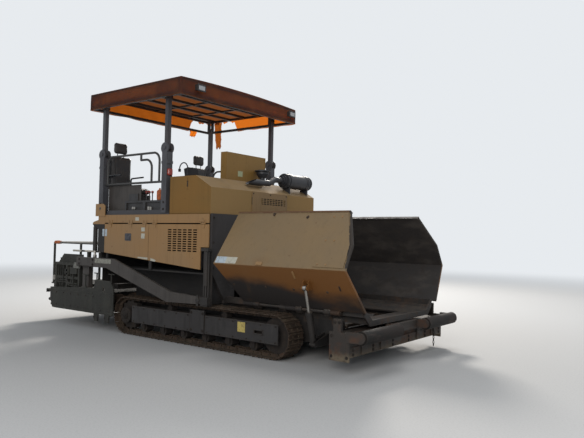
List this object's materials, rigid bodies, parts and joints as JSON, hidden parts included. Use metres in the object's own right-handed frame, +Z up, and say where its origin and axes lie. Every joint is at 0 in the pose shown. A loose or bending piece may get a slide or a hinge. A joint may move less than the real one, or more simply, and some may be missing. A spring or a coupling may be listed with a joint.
{
  "type": "asphalt paver",
  "caption": "Tracked asphalt paver with hinged hopper wings, push rollers, augers, raised extending screed and a folding canopy.",
  "frame": {"origin": "on the ground, in the middle of the machine's length and width", "axes": "+X forward to the hopper, +Y to the machine's left, +Z up"},
  "size_m": [6.64, 2.71, 3.85],
  "materials": {
    "ochre": "weathered ochre paint",
    "grey_paint": "weathered dark grey-blue paint",
    "dark_steel": "tar-stained dark paint",
    "rusty_steel": "rusted and dusty",
    "worn_steel": "scuffed bare steel",
    "chrome": "polished rod",
    "seat_cover": "dark vinyl cloth",
    "tarpaulin": "weathered orange-brown tarpaulin",
    "black_paint": "heat-dulled black"
  },
  "bodies": {
    "chassis": {"main_frame": "dark_steel", "undercarriage_right": "grey_paint", "undercarriage_left": "grey_paint", "track_right": "rusty_steel", "track_left": "rusty_steel", "conveyors": "worn_steel", "hopper_bed": "dark_steel", "body_shell": "ochre", "bulkhead": "grey_paint", "hood": "ochre", "hood_panel": "ochre", "engine": "black_paint", "platform": "grey_paint", "console": "ochre", "seat_right": "seat_cover", "seat_left": "seat_cover", "seat_bases": "grey_paint", "guard_rails": "grey_paint", "lower_posts": "grey_paint", "muffler": "black_paint", "tow_columns": "dark_steel", "auger_frame": "dark_steel"},
    "wing_right": {"wing_right": "ochre"},
    "wing_left": {"wing_left": "ochre"},
    "wing_barrel_right": {"wing_barrel_right": "dark_steel"},
    "wing_rod_right": {"wing_rod_right": "chrome"},
    "wing_barrel_left": {"wing_barrel_left": "dark_steel"},
    "wing_rod_left": {"wing_rod_left": "chrome"},
    "push_beam": {"push_beam": "dark_steel"},
    "push_roller_right": {"push_roller_right": "rusty_steel"},
    "push_roller_left": {"push_roller_left": "rusty_steel"},
    "door_rear_right": {"door_rear_right": "ochre"},
    "door_front_right": {"door_front_right": "ochre"},
    "door_rear_left": {"door_rear_left": "ochre"},
    "door_front_left": {"door_front_left": "ochre"},
    "roof_links_rear": {"upper_posts_rear": "grey_paint"},
    "roof_links_front": {"upper_posts_front": "grey_paint"},
    "canopy": {"canopy_frame": "grey_paint", "canopy_tarp": "tarpaulin"},
    "tow_carriage_right": {"tow_carriage_right": "dark_steel"},
    "tow_carriage_left": {"tow_carriage_left": "dark_steel"},
    "screed": {"tow_arm_right": "grey_paint", "tow_arm_left": "grey_paint", "screed_box": "dark_steel", "walkway": "dark_steel"},
    "extension_right": {"extension_right": "dark_steel"},
    "extension_left": {"extension_left": "dark_steel"},
    "lift_barrel_right": {"lift_barrel_right": "dark_steel"},
    "lift_rod_right": {"lift_rod_right": "chrome"},
    "lift_barrel_left": {"lift_barrel_left": "dark_steel"},
    "lift_rod_left": {"lift_rod_left": "chrome"},
    "auger_right": {"auger_right": "rusty_steel"},
    "auger_left": {"auger_left": "rusty_steel"}
  },
  "joints": [
    {"name": "wing_right_fold", "type": "hinge", "parent": "chassis", "child": "wing_right", "pos_m": [1.95, -0.97, 0.64], "axis": [1, 0, 0], "range_deg": [0, 38]},
    {"name": "wing_barrel_right_tilt", "type": "hinge", "parent": "chassis", "child": "wing_barrel_right", "pos_m": [2.46, -1.08, 0.25], "axis": [1, 0, 0], "range_deg": [0, 20]},
    {"name": "wing_rod_right_slide", "type": "slide", "parent": "wing_barrel_right", "child": "wing_rod_right", "axis": [0, -0.2676, 0.9635], "range_m": [-0.172, 0]},
    {"name": "wing_left_fold", "type": "hinge", "parent": "chassis", "child": "wing_left", "pos_m": [1.95, 0.97, 0.64], "axis": [-1, 0, 0], "range_deg": [0, 38]},
    {"name": "wing_barrel_left_tilt", "type": "hinge", "parent": "chassis", "child": "wing_barrel_left", "pos_m": [2.46, 1.08, 0.25], "axis": [-1, 0, 0], "range_deg": [0, 20]},
    {"name": "wing_rod_left_slide", "type": "slide", "parent": "wing_barrel_left", "child": "wing_rod_left", "axis": [0, 0.2676, 0.9635], "range_m": [-0.172, 0]},
    {"name": "push_beam_swivel", "type": "hinge", "parent": "chassis", "child": "push_beam", "pos_m": [2.76, 0, 0.385], "axis": [0, 0, 1], "range_deg": [-4, 4]},
    {"name": "push_roller_right_spin", "type": "hinge", "parent": "push_beam", "child": "push_roller_right", "pos_m": [3.24, -0.81, 0.43], "axis": [0, 1, 0], "continuous": true},
    {"name": "push_roller_left_spin", "type": "hinge", "parent": "push_beam", "child": "push_roller_left", "pos_m": [3.24, 0.81, 0.43], "axis": [0, 1, 0], "continuous": true},
    {"name": "door_rear_right_swing", "type": "hinge", "parent": "chassis", "child": "door_rear_right", "pos_m": [-1, -1.256, 1.705], "axis": [-1, 0, 0], "range_deg": [0, 80]},
    {"name": "door_front_right_swing", "type": "hinge", "parent": "chassis", "child": "door_front_right", "pos_m": [0.15, -1.256, 1.705], "axis": [-1, 0, 0], "range_deg": [0, 80]},
    {"name": "door_rear_left_swing", "type": "hinge", "parent": "chassis", "child": "door_rear_left", "pos_m": [-1, 1.256, 1.705], "axis": [1, 0, 0], "range_deg": [0, 80]},
    {"name": "door_front_left_swing", "type": "hinge", "parent": "chassis", "child": "door_front_left", "pos_m": [0.15, 1.256, 1.705], "axis": [1, 0, 0], "range_deg": [0, 80]},
    {"name": "roof_fold", "type": "hinge", "parent": "chassis", "child": "roof_links_rear", "pos_m": [-1.685, 0, 2.82], "axis": [0, -1, 0], "range_deg": [0, 75]},
    {"name": "roof_level", "type": "hinge", "parent": "roof_links_rear", "child": "canopy", "pos_m": [-1.685, 0, 3.59], "axis": [0, -1, 0], "range_deg": [-75, 0]},
    {"name": "roof_front_fold", "type": "hinge", "parent": "chassis", "child": "roof_links_front", "pos_m": [-0.16, 0, 2.82], "axis": [0, -1, 0], "range_deg": [0, 75]},
    {"name": "level_right", "type": "slide", "parent": "chassis", "child": "tow_carriage_right", "axis": [0, 0, 1], "range_m": [0, 0.06]},
    {"name": "level_left", "type": "slide", "parent": "chassis", "child": "tow_carriage_left", "axis": [0, 0, 1], "range_m": [0, 0.06]},
    {"name": "screed_lower", "type": "hinge", "parent": "tow_carriage_right", "child": "screed", "pos_m": [0.7, 0, 0.655], "axis": [0, -1, 0], "range_deg": [0, 3]},
    {"name": "extension_right_slide", "type": "slide", "parent": "screed", "child": "extension_right", "axis": [0, -1, 0], "range_m": [0, 0.9]},
    {"name": "lift_barrel_right_tilt", "type": "hinge", "parent": "chassis", "child": "lift_barrel_right", "pos_m": [-1.85, -1.215, 1.7], "axis": [0, -1, 0], "range_deg": [-1.6, 0]},
    {"name": "lift_rod_right_slide", "type": "slide", "parent": "lift_barrel_right", "child": "lift_rod_right", "axis": [0, 0, -1], "range_m": [0, 0.136]},
    {"name": "auger_right_spin", "type": "hinge", "parent": "chassis", "child": "auger_right", "pos_m": [-1.52, -0.65, 0.385], "axis": [0, 1, 0], "continuous": true},
    {"name": "extension_left_slide", "type": "slide", "parent": "screed", "child": "extension_left", "axis": [0, 1, 0], "range_m": [0, 0.9]},
    {"name": "lift_barrel_left_tilt", "type": "hinge", "parent": "chassis", "child": "lift_barrel_left", "pos_m": [-1.85, 1.215, 1.7], "axis": [0, -1, 0], "range_deg": [-1.6, 0]},
    {"name": "lift_rod_left_slide", "type": "slide", "parent": "lift_barrel_left", "child": "lift_rod_left", "axis": [0, 0, -1], "range_m": [0, 0.136]},
    {"name": "auger_left_spin", "type": "hinge", "parent": "chassis", "child": "auger_left", "pos_m": [-1.52, 0.65, 0.385], "axis": [0, 1, 0], "continuous": true}
  ],
  "couplings": [
    {"joint": "wing_barrel_right_tilt", "follows": "wing_right_fold", "ratio": 0.5204},
    {"joint": "wing_rod_right_slide", "follows": "wing_right_fold", "m_per_rad": -0.2562},
    {"joint": "wing_barrel_left_tilt", "follows": "wing_left_fold", "ratio": 0.5204},
    {"joint": "wing_rod_left_slide", "follows": "wing_left_fold", "m_per_rad": -0.2562},
    {"joint": "roof_level", "follows": "roof_fold", "ratio": -1},
    {"joint": "roof_front_fold", "follows": "roof_fold", "ratio": 1},
    {"joint": "level_left", "follows": "level_right", "ratio": 1},
    {"joint": "lift_barrel_right_tilt", "follows": "screed_lower", "ratio": -0.4952},
    {"joint": "lift_rod_right_slide", "follows": "screed_lower", "m_per_rad": 2.5618},
    {"joint": "lift_barrel_left_tilt", "follows": "screed_lower", "ratio": -0.4952},
    {"joint": "lift_rod_left_slide", "follows": "screed_lower", "m_per_rad": 2.5618}
  ]
}
